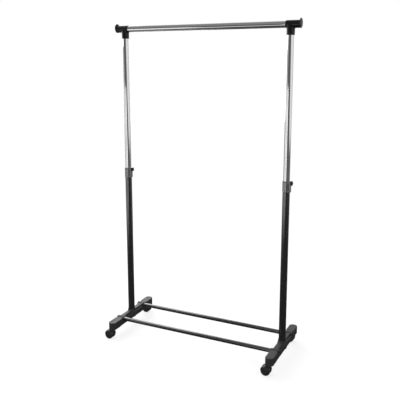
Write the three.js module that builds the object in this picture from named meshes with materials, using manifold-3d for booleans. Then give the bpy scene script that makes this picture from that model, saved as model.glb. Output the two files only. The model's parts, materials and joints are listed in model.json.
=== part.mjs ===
// Rolling clothes rack: one chrome hanging rail on two telescoping uprights, on a wheeled base.
// Millimetres, +Z up. The origin is on the floor, midway between the two uprights.
// +X runs along the rail to the right, +Y runs to the rear.

import * as THREE from 'three';
import { mergeVertices } from 'three/addons/utils/BufferGeometryUtils.js';
import Module from 'manifold-3d';

const wasm = await Module();
wasm.setup();

// ---------------------------------------------------------------- driving dimensions

const GAP = 0.3; // clearance between pieces that seat on each other
const UPRIGHT_SPACING = 800; // between the two upright axes
const RAIL_HEIGHT = 1472; // axis of the rail with the mast at its rest height

const LOWER_TUBE = { radius: 15.9, bore: 14.9, bottom: 58.3, top: 795 };
const UPPER_TUBE = { radius: 14.3, bore: 13.1, length: 800, belowRail: 17 };
const RAIL = { radius: 14.5, bore: 13.3, end: 20.3 }; // end: distance short of the upright axis
const ROD = { radius: 9.5, bore: 8.5, height: 73, reach: 96, past: 5.7 };

const FOOT = {
  bottom: 46, // underside of the castor blocks
  belly: 47.5, // underside between the castor blocks
  ledge: 72.5, // top of the wide lower body
  top: 82, // top of the narrow spine and of the castor blocks
  body: 18.5, // half width of the lower body and of the castor blocks
  spine: 10.5, // half width of the spine
  shoulder: 13.5, // half width of the spine beside the rods
  end: 187, // end faces from the upright axis
  castor: 173, // castor axis from the upright axis
};

const CASTOR = { wheelRadius: 21, trail: 14, hoodGap: 0.7, hoodWall: 1.4, top: 44.2 };
const WHEEL = { inner: 5.8, tread: 13.4, outer: 18.8, bore: 2.3, boreEnd: 15.8 }; // along the axle
const AXLE = { radius: 2, half: 15.4 };
const COLLAR = { bottom: 770, top: 818, radius: 17.2, bossFace: 20, bossHalf: 8.5, screwDrop: 9 };
const TEE = { body: 16.2, socket: 17.6, socketDrop: 44, inboard: 20, spigot: 30, flange: 20.3 };
const FLANGE = { face: 46.5, thickness: 5, lift: 3.8 };
const LOCK_SCREW = 3; // radius
const KNOB = { core: 8.6, lobe: 2.2, hub: 5.6, start: 20.4, neck: 22, face: 27.6, bore: 25.3 };

const TUBE_SIDES = 24;
const ROD_SIDES = 16;
const PIN_SIDES = 12;
const WHEEL_SIDES = 18;

// ---------------------------------------------------------------- materials

const material = (color, roughness, metalness) =>
  new THREE.MeshStandardMaterial({ color, roughness, metalness });

const powderCoat = material(0x1c1c1d, 0.45, 0.1);
const chrome = material(0xd8dadc, 0.08, 1.0);
const blackPlastic = material(0x232324, 0.55, 0.0);
const greyPlastic = material(0x66676a, 0.5, 0.0);
const castorPlastic = material(0x18181a, 0.4, 0.0);
const nylon = material(0xd9d7d0, 0.6, 0.0);
const zincSteel = material(0xa9abae, 0.35, 1.0);

// ---------------------------------------------------------------- geometry helpers

// Six times the signed volume: its sign says which way the faces of a closed mesh point.
function signedVolume(positions, triangles) {
  let sum = 0;
  const [a, b, c] = [new THREE.Vector3(), new THREE.Vector3(), new THREE.Vector3()];
  for (let i = 0; i < triangles.length; i += 3) {
    a.fromArray(positions, 3 * triangles[i]);
    b.fromArray(positions, 3 * triangles[i + 1]);
    c.fromArray(positions, 3 * triangles[i + 2]);
    sum += a.dot(b.cross(c));
  }
  return sum;
}

// A closed geometry as a solid: shared vertices merged, collapsed triangles dropped, faces out.
function solid(geometry) {
  const bare = geometry.clone();
  bare.deleteAttribute('normal');
  bare.deleteAttribute('uv');
  const merged = mergeVertices(bare, 1e-4);
  const positions = merged.attributes.position.array;
  const index = merged.index.array;
  const kept = [];
  for (let i = 0; i < index.length; i += 3) {
    const [a, b, c] = [index[i], index[i + 1], index[i + 2]];
    if (a !== b && b !== c && c !== a) kept.push(a, b, c);
  }
  if (signedVolume(positions, kept) < 0) kept.reverse();
  return new wasm.Manifold(
    new wasm.Mesh({
      numProp: 3,
      vertProperties: new Float32Array(positions),
      triVerts: new Uint32Array(kept),
    }),
  );
}

function geometryOf(body) {
  const { vertProperties, triVerts } = body.getMesh();
  const geometry = new THREE.BufferGeometry();
  geometry.setAttribute('position', new THREE.BufferAttribute(vertProperties, 3));
  geometry.setIndex(new THREE.BufferAttribute(triVerts, 1));
  geometry.computeVertexNormals();
  return geometry;
}

const joined = (first, ...others) => others.reduce((sum, body) => sum.add(body), first);
const cut = (first, ...tools) => tools.reduce((rest, tool) => rest.subtract(tool), first);

// Revolves [radius, height] points. The profile starts and ends on the axis, or closes on itself.
function turned(profile, { axis = 'z', sides = TUBE_SIDES, at = [0, 0, 0], flatDown = false } = {}) {
  const points = profile.map(([r, h]) => new THREE.Vector2(r, h));
  const onAxis = profile[0][0] === 0;
  if (!onAxis) points.push(points[0].clone());
  const geometry = new THREE.LatheGeometry(points, sides);
  if (flatDown) geometry.rotateY(Math.PI / sides);
  if (axis === 'z') geometry.rotateX(Math.PI / 2);
  if (axis === 'x') geometry.rotateZ(-Math.PI / 2);
  return solid(geometry.translate(...at));
}

const rod = (radius, from, to, options) =>
  turned([[0, from], [radius, from], [radius, to], [0, to]], options);

const tube = (radius, bore, from, to, options) =>
  turned([[bore, from], [radius, from], [radius, to], [bore, to]], options);

// Extrudes an outline. 'z' takes an XY outline, 'x' a YZ outline, 'y' an XZ outline.
function extruded(shape, from, to, { axis = 'z', bevel = 0, curveSegments = 8, at = [0, 0, 0] } = {}) {
  const geometry = new THREE.ExtrudeGeometry(shape, {
    depth: to - from - 2 * bevel,
    bevelEnabled: bevel > 0,
    bevelThickness: bevel,
    bevelSize: bevel,
    bevelOffset: -bevel,
    bevelSegments: 1,
    curveSegments,
  });
  geometry.translate(0, 0, bevel);
  const [X, Y, Z] = [[1, 0, 0], [0, 1, 0], [0, 0, 1]].map((v) => new THREE.Vector3(...v));
  const frame = new THREE.Matrix4();
  if (axis === 'x') frame.makeBasis(Y, Z, X).setPosition(from, 0, 0);
  else if (axis === 'y') frame.makeBasis(X, Z, Y.clone().negate()).setPosition(0, to, 0);
  else frame.setPosition(0, 0, from);
  return solid(geometry.applyMatrix4(frame).translate(...at));
}

function outline(points) {
  return new THREE.Shape(points.map(([x, y]) => new THREE.Vector2(x, y)));
}

// A closed outline from its +X +Y quarter, mirrored in both axes.
function quarterOutline(quarter) {
  const backwards = quarter.slice().reverse();
  return outline([
    ...quarter,
    ...backwards.map(([x, y]) => [-x, y]),
    ...quarter.map(([x, y]) => [-x, -y]),
    ...backwards.map(([x, y]) => [x, -y]),
  ]);
}

const box = (low, high) => {
  const size = high.map((value, i) => value - low[i]);
  const centre = high.map((value, i) => (value + low[i]) / 2);
  return solid(new THREE.BoxGeometry(...size).translate(...centre));
};

// ---------------------------------------------------------------- scene graph

const rack = new THREE.Group();

function add(parent, name, body, finish) {
  const mesh = new THREE.Mesh(geometryOf(body), finish);
  mesh.name = name;
  parent.add(mesh);
}

function place(x, y, z, turn = 0) {
  const group = new THREE.Group();
  group.position.set(x, y, z);
  group.rotation.z = turn;
  rack.add(group);
  return group;
}

const SIDES = [
  { side: 'left', x: -UPRIGHT_SPACING / 2, turn: 0, knobTurn: Math.PI / 4 },
  { side: 'right', x: UPRIGHT_SPACING / 2, turn: Math.PI, knobTurn: 0 },
];
const ENDS = [
  { end: 'front', y: -1 },
  { end: 'rear', y: 1 },
];

// ---------------------------------------------------------------- foot bar
// Drawn about the upright axis with its inner side to +X: a moulded bar with a narrow spine on a
// wider body, octagonal castor blocks, a flared upright boss, rod bosses and a ribbed hollow belly.

const ROD_BOSS = { radius: 12.4, reach: 19.7, recess: 6.2, recessFloor: -10.5, chamfer: 1.2 };
const UPRIGHT_BOSS = { foot: 21, neck: 18.2, top: 88, floor: 58 };
const BOLT = { shank: 4, head: 6.8, seat: 52, headHeight: 4, reach: 80 };
const SCREW = { shank: 3, head: 5.4, headHeight: 3.5, reach: 10 };
const SLEEVE = { bore: 4.2, radius: 6.1, flange: 8.8, top: 73.5, flangeBottom: 44.6 };
const STEM = { radius: 3.7, bottom: 31, top: 72 };
const NARROW = { from: 108, to: 120 }; // where the castor block narrows to the spine
const WALL = 3.5; // of the moulding, round its hollows

// A plan from its last corner on the side to the middle of its end face.
function octagonEnd() {
  const flat = FOOT.body * Math.tan(Math.PI / 8);
  return [
    [FOOT.body, FOOT.end - FOOT.body + flat],
    [flat, FOOT.end],
  ];
}

function spinePlan() {
  return quarterOutline([
    [FOOT.spine, ROD.reach - 18],
    [FOOT.shoulder, ROD.reach - 8],
    [FOOT.shoulder, ROD.reach + 8],
    [FOOT.shoulder - 1, NARROW.from],
    [FOOT.body, NARROW.to],
    ...octagonEnd(),
  ]);
}

// The space under the bar between the castor blocks, with a soft rise off each block.
function bellySpace() {
  const [rise, blend, blockStart, below] = [110, 123, 138, FOOT.bottom - 10];
  const shape = new THREE.Shape();
  shape.moveTo(-blockStart, below);
  shape.lineTo(-blockStart, FOOT.bottom);
  shape.bezierCurveTo(-blend, FOOT.bottom, -blend, FOOT.belly, -rise, FOOT.belly);
  shape.lineTo(rise, FOOT.belly);
  shape.bezierCurveTo(blend, FOOT.belly, blend, FOOT.bottom, blockStart, FOOT.bottom);
  shape.lineTo(blockStart, below);
  return extruded(shape, -30, 30, { axis: 'x', curveSegments: 4 });
}

// Hollows moulded up into the bar, which leave its side walls and cross ribs.
function bellyPockets() {
  const [half, low] = [FOOT.body - WALL, FOOT.bottom - 5];
  const bays = [
    { from: 24, to: 51.5, roof: FOOT.ledge - WALL },
    { from: 54.5, to: 81, roof: FOOT.ledge - WALL },
    { from: 111, to: 131, roof: FOOT.ledge - WALL },
    { from: 134, to: 160, roof: FOOT.top - 2 * WALL },
  ];
  return bays.flatMap(({ from, to, roof }) => [
    box([-half, from, low], [half, to, roof]),
    box([-half, -to, low], [half, -from, roof]),
  ]);
}

// A boss across the bar at each rod, with the rod's socket on the inner side.
function rodBoss(y) {
  const { radius, reach, chamfer } = ROD_BOSS;
  return turned(
    [
      [0, -reach],
      [radius - chamfer, -reach],
      [radius, chamfer - reach],
      [radius, reach - chamfer],
      [radius - chamfer, reach],
      [0, reach],
    ],
    { axis: 'x', sides: ROD_SIDES, at: [0, y, ROD.height] },
  );
}

function footBar() {
  const lower = extruded(quarterOutline(octagonEnd()), FOOT.bottom, FOOT.ledge, { bevel: 1 });
  const upper = extruded(spinePlan(), FOOT.ledge - 8, FOOT.top, { bevel: 1.4 });
  const boss = turned([
    [0, FOOT.belly],
    [UPRIGHT_BOSS.foot, FOOT.belly],
    [UPRIGHT_BOSS.foot, FOOT.ledge],
    [UPRIGHT_BOSS.neck + 0.6, FOOT.top - 3],
    [UPRIGHT_BOSS.neck, UPRIGHT_BOSS.top - 1],
    [UPRIGHT_BOSS.neck - 1, UPRIGHT_BOSS.top],
    [0, UPRIGHT_BOSS.top],
  ]);
  const bores = [
    rod(LOWER_TUBE.radius + GAP, UPRIGHT_BOSS.floor, UPRIGHT_BOSS.top + 5),
    rod(BOLT.shank + 0.4, FOOT.belly - 5, UPRIGHT_BOSS.floor + 1, { sides: PIN_SIDES }),
    rod(BOLT.head + 0.8, FOOT.belly - 5, BOLT.seat, { sides: PIN_SIDES }),
  ];
  for (const { y } of ENDS) {
    const onRod = { axis: 'x', at: [0, y * ROD.reach, ROD.height] };
    const onCastor = { sides: PIN_SIDES, at: [0, y * FOOT.castor, 0] };
    const { reach, recess, recessFloor } = ROD_BOSS;
    bores.push(
      rod(ROD.radius + GAP, -ROD.past - GAP, reach + 5, { ...onRod, sides: ROD_SIDES }),
      rod(SCREW.shank + 0.4, -reach, 0, { ...onRod, sides: PIN_SIDES }),
      rod(recess, -reach - 5, recessFloor, { ...onRod, sides: PIN_SIDES }),
      rod(SLEEVE.radius + GAP, FOOT.bottom - 5, SLEEVE.top + 0.5, onCastor),
    );
  }
  const rodBosses = ENDS.map(({ y }) => rodBoss(y * ROD.reach));
  return cut(joined(lower, upper, boss, ...rodBosses), bellySpace(), ...bellyPockets(), ...bores);
}

function baseBolt() {
  const under = BOLT.seat - GAP;
  return turned(
    [
      [0, under - BOLT.headHeight],
      [BOLT.head - 1, under - BOLT.headHeight],
      [BOLT.head, under - BOLT.headHeight + 1],
      [BOLT.head, under],
      [BOLT.shank, under],
      [BOLT.shank, BOLT.reach - 1],
      [BOLT.shank - 1, BOLT.reach],
      [0, BOLT.reach],
    ],
    { sides: PIN_SIDES },
  );
}

// Lies along +X with its head in the recess on the outer side of the foot bar.
function rodScrew(at) {
  const seat = ROD_BOSS.recessFloor - GAP;
  return turned(
    [
      [0, seat - SCREW.headHeight],
      [SCREW.head - 1.2, seat - SCREW.headHeight],
      [SCREW.head, seat - 1.6],
      [SCREW.head, seat],
      [SCREW.shank, seat],
      [SCREW.shank, SCREW.reach],
      [0, SCREW.reach],
    ],
    { axis: 'x', sides: PIN_SIDES, at },
  );
}

const foot = footBar();
for (const { side, x, turn } of SIDES) {
  const bar = place(x, 0, 0, turn);
  add(bar, `${side}_foot_bar`, foot, blackPlastic);
  add(bar, `${side}_upright_bolt`, baseBolt(), zincSteel);
  const [outside, inside] = [LOWER_TUBE.bore - GAP, BOLT.shank + GAP];
  const insert = tube(outside, inside, LOWER_TUBE.bottom + GAP, BOLT.reach + 4, { sides: ROD_SIDES });
  add(bar, `${side}_upright_insert`, insert, nylon);
  for (const { end, y } of ENDS) {
    const across = turn === 0 ? y : -y; // the right bar is turned half round
    const at = [0, across * ROD.reach, ROD.height];
    add(bar, `${side}_${end}_rod_screw`, rodScrew(at), zincSteel);
    const onRod = { axis: 'x', sides: PIN_SIDES, at };
    const plug = tube(ROD.bore - GAP, SCREW.shank + GAP, -ROD.past + GAP, SCREW.reach + 5, onRod);
    add(bar, `${side}_${end}_rod_insert`, plug, nylon);
  }
}

for (const { end, y } of ENDS) {
  const half = UPRIGHT_SPACING / 2 + ROD.past;
  const onRod = { axis: 'x', sides: ROD_SIDES, at: [0, y * ROD.reach, ROD.height] };
  add(rack, `${end}_base_rod`, tube(ROD.radius, ROD.bore, -half, half, onRod), powderCoat);
}

// ---------------------------------------------------------------- castors
// Drawn about the swivel axis, floor at zero, with the wheels trailing towards -X.

const AXLE_AT = [-CASTOR.trail, 0, CASTOR.wheelRadius];

// A hood over both wheels, a web between them and a neck round the stem.
function castorHousing() {
  const { wheelRadius, hoodGap, hoodWall, top } = CASTOR;
  const hoodInner = wheelRadius + hoodGap;
  const hoodOuter = hoodInner + hoodWall;
  const [hub, neckRadius, webHalf, hoodHalf] = [11, 9.5, WHEEL.inner - 0.6, WHEEL.outer - 0.6];
  const hood = new THREE.Shape();
  hood.absarc(0, 0, hoodOuter, 0.1, Math.PI - 0.12, false);
  hood.absarc(0, 0, hoodInner - 2, Math.PI - 0.12, 0.1, true);
  const web = new THREE.Shape();
  web.absarc(0, 0, hoodOuter - 0.2, -0.25, Math.PI + 0.35, false);
  web.absarc(0, 0, hub, Math.PI + 0.8, 2 * Math.PI - 0.9, false);
  const neck = turned(
    [[0, 26], [6, 26], [neckRadius, 33], [neckRadius, top - 1], [neckRadius - 1, top], [0, top]],
    { sides: PIN_SIDES },
  );
  const acrossAxle = { axis: 'y', curveSegments: 6, at: AXLE_AT };
  const shell = joined(extruded(hood, -hoodHalf, hoodHalf, acrossAxle), neck);
  const wheelSpaces = [-1, 1].map((way) => {
    const [from, to] = [way * webHalf, way * 2 * WHEEL.outer].sort((a, b) => a - b);
    return rod(hoodInner, from, to, { axis: 'y', sides: WHEEL_SIDES, at: AXLE_AT });
  });
  const body = joined(cut(shell, ...wheelSpaces), extruded(web, -webHalf, webHalf, acrossAxle));
  const onAxle = { axis: 'y', sides: PIN_SIDES, at: AXLE_AT };
  return cut(
    body,
    rod(AXLE.radius + GAP, -webHalf - 1, webHalf + 1, onAxle),
    rod(STEM.radius + GAP, STEM.bottom - GAP, top + 1, { sides: PIN_SIDES }),
  );
}

// A pin with the groove of its spring ring near the top.
function castorStem() {
  const { radius, bottom, top } = STEM;
  return turned(
    [
      [0, bottom],
      [radius, bottom],
      [radius, top - 6],
      [radius - 0.6, top - 5],
      [radius - 0.6, top - 3],
      [radius, top - 2],
      [radius - 0.9, top],
      [0, top],
    ],
    { sides: PIN_SIDES },
  );
}

// A domed disc with a blind axle bore, drawn towards +Y for way 1 and towards -Y for way -1.
function castorWheel(way) {
  const { inner, tread, outer, bore, boreEnd } = WHEEL;
  const rim = CASTOR.wheelRadius / Math.cos(Math.PI / WHEEL_SIDES);
  const profile = [
    [0, boreEnd],
    [bore, boreEnd],
    [bore, inner],
    [rim - 1.5, inner],
    [rim, inner + 1.5],
    [rim, tread],
    [rim - 1.6, tread + 2.8],
    [rim - 6.5, outer - 0.7],
    [0, outer],
  ];
  const mirrored = profile.map(([r, along]) => [r, way * along]);
  return turned(mirrored, { axis: 'y', sides: WHEEL_SIDES, at: AXLE_AT, flatDown: true });
}

// The socket pressed into the block, with a flange that the block rests on.
function stemSleeve() {
  const flangeTop = FOOT.bottom - GAP;
  return turned(
    [
      [SLEEVE.bore, SLEEVE.flangeBottom],
      [SLEEVE.flange, SLEEVE.flangeBottom],
      [SLEEVE.flange, flangeTop],
      [SLEEVE.radius, flangeTop],
      [SLEEVE.radius, SLEEVE.top],
      [SLEEVE.bore, SLEEVE.top],
    ],
    { sides: PIN_SIDES },
  );
}

for (const { side, x } of SIDES) {
  for (const { end, y } of ENDS) {
    const name = `${end}_${side}_castor`;
    const castor = place(x, y * FOOT.castor, 0);
    const axle = rod(AXLE.radius, -AXLE.half, AXLE.half, { axis: 'y', sides: PIN_SIDES, at: AXLE_AT });
    add(castor, `${name}_housing`, castorHousing(), castorPlastic);
    add(castor, `${name}_stem`, castorStem(), zincSteel);
    add(castor, `${name}_axle`, axle, zincSteel);
    add(castor, `${name}_front_wheel`, castorWheel(-1), castorPlastic);
    add(castor, `${name}_rear_wheel`, castorWheel(1), castorPlastic);
    add(castor, `${name}_sleeve`, stemSleeve(), castorPlastic);
  }
}

// ---------------------------------------------------------------- uprights and height collars

const LOCK_HEIGHT = COLLAR.top - COLLAR.screwDrop;

function collar() {
  const { bottom, top, radius, bossFace, bossHalf } = COLLAR;
  const meet = Math.asin(bossHalf / radius);
  const plan = new THREE.Shape();
  plan.moveTo(bossFace, bossHalf - 2);
  plan.lineTo(bossFace - 2, bossHalf);
  plan.absarc(0, 0, radius, meet, 2 * Math.PI - meet, false);
  plan.lineTo(bossFace - 2, -bossHalf);
  plan.lineTo(bossFace, -bossHalf + 2);
  const lip = tube(radius + 0.9, radius - 2, bottom, bottom + 4);
  const shell = joined(extruded(plan, bottom, top, { bevel: 1.2, curveSegments: 10 }), lip);
  const onScrew = { axis: 'x', sides: PIN_SIDES, at: [0, 0, LOCK_HEIGHT] };
  return cut(
    shell,
    rod(LOWER_TUBE.radius + GAP, bottom - 5, LOWER_TUBE.top + GAP),
    rod(UPPER_TUBE.radius + 0.4, LOWER_TUBE.top, top + 5),
    rod(LOCK_SCREW + 0.4, UPPER_TUBE.radius - 4, bossFace + 5, onScrew),
  );
}

// A four-lobed thumb knob. Its lobes stand upright and level, or elsewhere after a turn.
function knob(screwHeight, turn) {
  const { core, lobe, hub, start, neck, face, bore } = KNOB;
  const rim = new THREE.Shape();
  const steps = 24;
  for (let i = 0; i < steps; i += 1) {
    const angle = (2 * Math.PI * i) / steps;
    const r = core + lobe * Math.cos(4 * (angle - turn));
    const [u, v] = [r * Math.cos(angle), r * Math.sin(angle)];
    if (i === 0) rim.moveTo(u, v);
    else rim.lineTo(u, v);
  }
  const at = [0, 0, screwHeight];
  const onScrew = { axis: 'x', sides: PIN_SIDES, at };
  const head = extruded(rim, neck, face, { axis: 'x', bevel: 0.9, at });
  const stub = rod(hub, start, neck + 1, onScrew);
  return cut(joined(head, stub), rod(LOCK_SCREW + GAP, start - 1, bore, onScrew));
}

const mastBottom = RAIL_HEIGHT - UPPER_TUBE.belowRail - UPPER_TUBE.length;
const mastTop = RAIL_HEIGHT - UPPER_TUBE.belowRail;

// Guides the foot of the upper tube in the lower one: a collar below it and a spigot inside it.
function guideBush() {
  const seat = mastBottom - GAP;
  const [bore, spigot, guide] = [10.5, UPPER_TUBE.bore - GAP, LOWER_TUBE.bore - GAP];
  return turned(
    [
      [bore, seat - 8],
      [guide, seat - 8],
      [guide, seat],
      [spigot, seat],
      [spigot, seat + 18],
      [bore, seat + 18],
    ],
    { sides: ROD_SIDES },
  );
}

for (const { side, x, knobTurn } of SIDES) {
  const axis = place(x, 0, 0);
  const lower = tube(LOWER_TUBE.radius, LOWER_TUBE.bore, LOWER_TUBE.bottom, LOWER_TUBE.top);
  const upper = tube(UPPER_TUBE.radius, UPPER_TUBE.bore, mastBottom, mastTop);
  const onScrew = { axis: 'x', sides: PIN_SIDES, at: [0, 0, LOCK_HEIGHT] };
  const screw = rod(LOCK_SCREW, UPPER_TUBE.radius + 0.4, KNOB.bore - GAP, onScrew);
  add(axis, `${side}_lower_upright`, lower, powderCoat);
  add(axis, `${side}_height_collar`, collar(), greyPlastic);
  add(axis, `${side}_lock_knob`, knob(LOCK_HEIGHT, knobTurn), blackPlastic);
  add(axis, `${side}_lock_screw`, screw, zincSteel);
  add(axis, `${side}_upper_upright`, upper, chrome);
  add(axis, `${side}_guide_bush`, guideBush(), nylon);
}

// ---------------------------------------------------------------- rail and tee joints

// Drawn about the crossing of the upright and rail axes, with the end stop to -X.
function teeJoint() {
  const { body, socket, socketDrop, inboard, spigot, flange } = TEE;
  const { face, thickness, lift } = FLANGE;
  const back = thickness - face;
  const barrel = turned(
    [[0, back - 1], [body, back - 1], [body, inboard - 1.6], [body - 1.6, inboard], [0, inboard]],
    { axis: 'x' },
  );
  const sleeve = turned(
    [[0, -socketDrop], [socket - 1, -socketDrop], [socket, 1 - socketDrop], [socket, -4], [0, -4]],
  );
  const stop = turned(
    [[0, -face], [11, -face], [flange - 2.4, 1 - face], [flange, 3 - face], [flange, back], [0, back]],
    { axis: 'x', at: [0, 0, lift] },
  );
  const nose = rod(RAIL.bore - GAP, inboard - 5, inboard + spigot, { axis: 'x' });
  const throat = [
    rod(UPPER_TUBE.radius + GAP, -socketDrop - 5, GAP - UPPER_TUBE.belowRail),
    rod(11, -socketDrop, 0, { sides: ROD_SIDES }),
    rod(10, back + 5.5, inboard + spigot + 5, { axis: 'x', sides: ROD_SIDES }),
  ];
  return cut(joined(barrel, sleeve, stop, cornerWeb(), nose), ...throat);
}

// A small concave web in the outer corner between the barrel and the socket.
function cornerWeb() {
  const [reach, drop, half, root] = [3.5, 4.5, 6, 4]; // root: how far it starts inside them
  const [wall, under] = [-TEE.socket, -TEE.body];
  const shape = new THREE.Shape();
  shape.moveTo(wall + root, under + root);
  shape.lineTo(wall - reach, under + root);
  shape.lineTo(wall - reach, under);
  shape.quadraticCurveTo(wall, under, wall, under - drop);
  shape.lineTo(wall + root, under - drop);
  return extruded(shape, -half, half, { axis: 'y', curveSegments: 4 });
}

for (const { side, x, turn } of SIDES) {
  add(place(x, 0, RAIL_HEIGHT, turn), `${side}_tee_joint`, teeJoint(), blackPlastic);
}

const railHalf = UPRIGHT_SPACING / 2 - RAIL.end;
const onRail = { axis: 'x', at: [0, 0, RAIL_HEIGHT] };
add(rack, 'hanging_rail', tube(RAIL.radius, RAIL.bore, -railHalf, railHalf, onRail), chrome);

export default rack;
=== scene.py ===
"""Rolling clothes rack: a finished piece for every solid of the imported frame, the studio and the
camera. Lengths in the shape functions are millimetres, and MM brings them to metres. +Z is up, and
+X runs along the rail to the right."""

import json
import math

import bpy
import numpy as np
from mathutils import Matrix, Vector

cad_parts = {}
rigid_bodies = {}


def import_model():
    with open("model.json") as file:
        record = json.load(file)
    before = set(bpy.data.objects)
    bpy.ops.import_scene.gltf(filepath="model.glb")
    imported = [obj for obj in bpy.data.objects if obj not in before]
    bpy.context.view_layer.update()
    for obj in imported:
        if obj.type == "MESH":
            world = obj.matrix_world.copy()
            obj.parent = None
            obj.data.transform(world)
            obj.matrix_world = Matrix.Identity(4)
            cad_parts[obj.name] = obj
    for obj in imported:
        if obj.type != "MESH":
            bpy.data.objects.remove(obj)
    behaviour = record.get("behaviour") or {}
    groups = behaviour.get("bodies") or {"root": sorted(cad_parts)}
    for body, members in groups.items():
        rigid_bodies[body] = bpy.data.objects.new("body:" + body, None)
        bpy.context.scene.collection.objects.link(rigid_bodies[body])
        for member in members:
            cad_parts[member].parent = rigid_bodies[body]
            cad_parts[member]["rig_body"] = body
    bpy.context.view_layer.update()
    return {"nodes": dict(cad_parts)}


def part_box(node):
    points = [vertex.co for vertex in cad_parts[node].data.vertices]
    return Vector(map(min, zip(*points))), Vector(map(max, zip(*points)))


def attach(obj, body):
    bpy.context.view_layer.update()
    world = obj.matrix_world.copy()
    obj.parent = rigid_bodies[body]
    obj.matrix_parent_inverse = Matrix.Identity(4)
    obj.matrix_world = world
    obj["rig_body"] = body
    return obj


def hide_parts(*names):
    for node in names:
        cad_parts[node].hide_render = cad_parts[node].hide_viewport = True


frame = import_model()

MM = 0.001
SIDES = ("left", "right")
ENDS = ("front", "rear")
WAY = {"front": -1, "rear": 1}  # along Y
FAR = 1000  # a cutting tool that opens a face runs on to here


# ------------------------------------------------------------------ places, read from the frame

def span(node):
    """Lowest and highest corner of a CAD node, in millimetres."""
    low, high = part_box(node)
    return np.array(low) / MM, np.array(high) / MM


def middle(node):
    low, high = span(node)
    return (low + high) / 2


def body_of(node):
    return frame["nodes"][node]["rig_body"]


UPRIGHT_X = {side: middle(f"{side}_lower_upright")[0] for side in SIDES}
RAIL_Z = middle("hanging_rail")[2]
ROD_Z = middle("front_base_rod")[2]
ROD_Y = middle("rear_base_rod")[1]
CASTOR_Y = middle("rear_left_castor_stem")[1]
TURN = {"left": 0.0, "right": math.pi}  # the right foot bar and tee are the left ones turned round
KNOB_TURN = {"left": math.pi / 4, "right": 0.0}  # where each knob's first lobe points


# ------------------------------------------------------------------ moulded pieces
# A moulded piece is a signed distance field: negative inside, in millimetres. The field is
# sampled on a grid, blurred a little so that its edges come out rounded, and skinned.

def cylinder(x, y, z, axis, radius, low, high, at=(0, 0, 0)):
    """low and high are its ends along the axis. All three are counted from at."""
    x, y, z = x - at[0], y - at[1], z - at[2]
    along, u, v = {"x": (x, y, z), "y": (y, x, z), "z": (z, x, y)}[axis]
    return np.maximum(np.hypot(u, v) - radius, np.maximum(low - along, along - high))


def block(x, y, z, low, high):
    sides = [np.maximum(a - value, value - b) for value, a, b in zip((x, y, z), low, high)]
    return np.maximum(np.maximum(sides[0], sides[1]), sides[2])


def sphere(x, y, z, radius, at):
    return np.sqrt((x - at[0]) ** 2 + (y - at[1]) ** 2 + (z - at[2]) ** 2) - radius


def polygon(u, v, points):
    """Signed distance to a closed outline, by the nearest edge and the edges that a ray crosses."""
    nearest, sign = np.inf, np.ones(np.broadcast(u, v).shape)
    for (ax, ay), (bx, by) in zip(points, points[1:] + points[:1]):
        ex, ey = bx - ax, by - ay
        wx, wy = u - ax, v - ay
        t = np.clip((wx * ex + wy * ey) / (ex * ex + ey * ey), 0, 1)
        nearest = np.minimum(nearest, (wx - ex * t) ** 2 + (wy - ey * t) ** 2)
        above, below, left = v >= ay, v < by, ex * wy > ey * wx
        crossed = (above & below & left) | (~above & ~below & ~left)
        sign = np.where(crossed, -sign, sign)
    return sign * np.sqrt(nearest)


def slab(outline, height, low, high):
    """An outline's field, kept between two heights."""
    return np.maximum(outline, np.maximum(low - height, height - high))


def join(*bodies, fillet=0.0):
    """Union, with its inner corners filled by about that radius."""
    total = bodies[0]
    for body in bodies[1:]:
        if fillet > 0:
            mix = np.clip(0.5 + 0.5 * (body - total) / fillet, 0, 1)
            total = body + (total - body) * mix - fillet * mix * (1 - mix)
        else:
            total = np.minimum(total, body)
    return total


def cut(body, *tools):
    for tool in tools:
        body = np.maximum(body, -tool)
    return body


CORNERS = np.array([(i, j, k) for i in (0, 1) for j in (0, 1) for k in (0, 1)])
CUBE_EDGES = [
    (a, b) for a in range(8) for b in range(a + 1, 8) if abs(CORNERS[a] - CORNERS[b]).sum() == 1
]


def blurred(grid):
    """The grid after one 1-2-1 blur along each axis."""
    for axis in range(3):
        padded = np.concatenate([grid.take([0], axis), grid, grid.take([-1], axis)], axis=axis)
        count = grid.shape[axis]
        parts = [padded.take(range(i, i + count), axis) for i in range(3)]
        grid = (parts[0] + 2 * parts[1] + parts[2]) / 4
    return grid


def sample(grid, points):
    """Trilinear value of the grid at points given in cells."""
    limit = np.array(grid.shape) - 1.001
    points = np.clip(points, 0, limit)
    base = points.astype(int)
    part = points - base
    value = 0
    for corner in CORNERS:
        weight = np.prod(np.where(corner, part, 1 - part), axis=1)
        value = value + weight * grid[tuple((base + corner).T)]
    return value


def gradient(grid, points, step=0.7):
    rises = [sample(grid, points + way) - sample(grid, points - way) for way in np.eye(3) * step]
    return np.stack(rises, axis=1) / (2 * step)


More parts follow.
